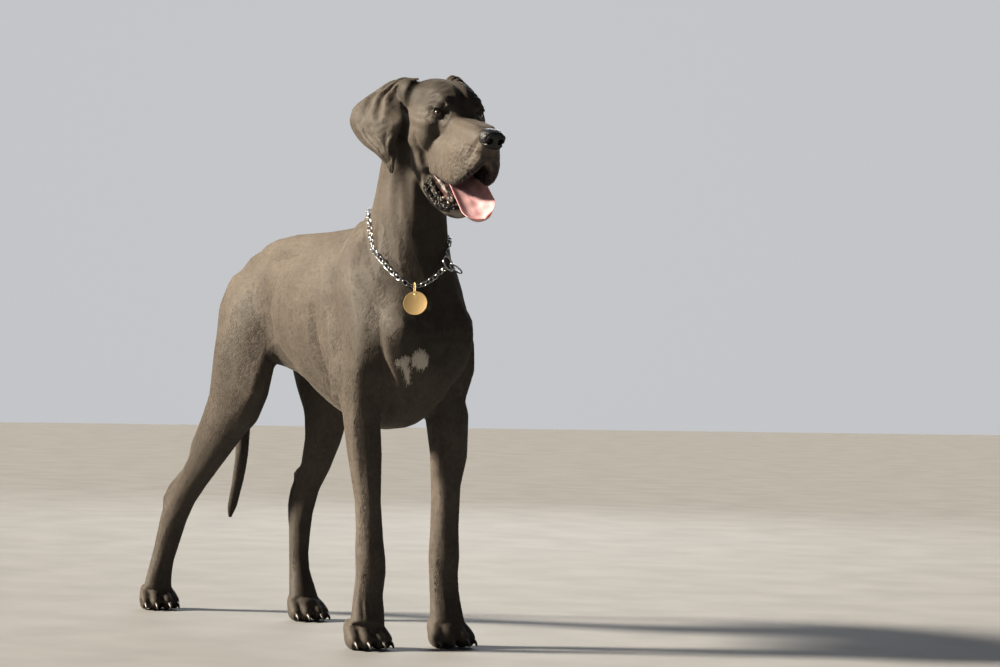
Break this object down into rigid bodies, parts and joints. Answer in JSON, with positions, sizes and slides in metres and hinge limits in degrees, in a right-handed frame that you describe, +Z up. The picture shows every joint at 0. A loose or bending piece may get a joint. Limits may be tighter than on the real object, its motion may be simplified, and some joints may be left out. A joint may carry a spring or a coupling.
{
  "type": "standing great dane model with a chain collar and a round tag",
  "caption": "Life-size still model of a standing great dane, mouth open with tongue out, wearing a chain collar with ring ends and a round tag.",
  "frame": {"origin": "centre of the bounding box seen from above, at the level the paws stand on", "axes": "+Z up, -Y the way the dog faces, +X to the dog's left"},
  "size_m": [0.3234, 1.2344, 1.1106],
  "materials": {
    "coat": "short close fur, satin",
    "nose_leather": "moist, pebbled",
    "eye": "clear cornea over an amber iris",
    "tongue": "wet",
    "chain_steel": "polished",
    "tag_brass": "brushed, bare"
  },
  "bodies": {
    "root": {"collar_chain": "chain_steel", "collar_ring_end": "chain_steel", "collar_ring_slide": "chain_steel", "ear_left": "coat", "ear_right": "coat", "eye_left": "eye", "eye_right": "eye", "foreleg_left": "coat", "foreleg_right": "coat", "forepaw_left": "coat", "forepaw_right": "coat", "head": "coat", "hindpaw_left": "coat", "hindpaw_right": "coat", "hock_left": "coat", "hock_right": "coat", "lower_jaw": "coat", "neck": "coat", "nose": "nose_leather", "shank_left": "coat", "shank_right": "coat", "tag": "tag_brass", "tag_link": "chain_steel", "tail": "coat", "thigh_left": "coat", "thigh_right": "coat", "tongue": "tongue", "trunk": "coat"}
  },
  "joints": []
}
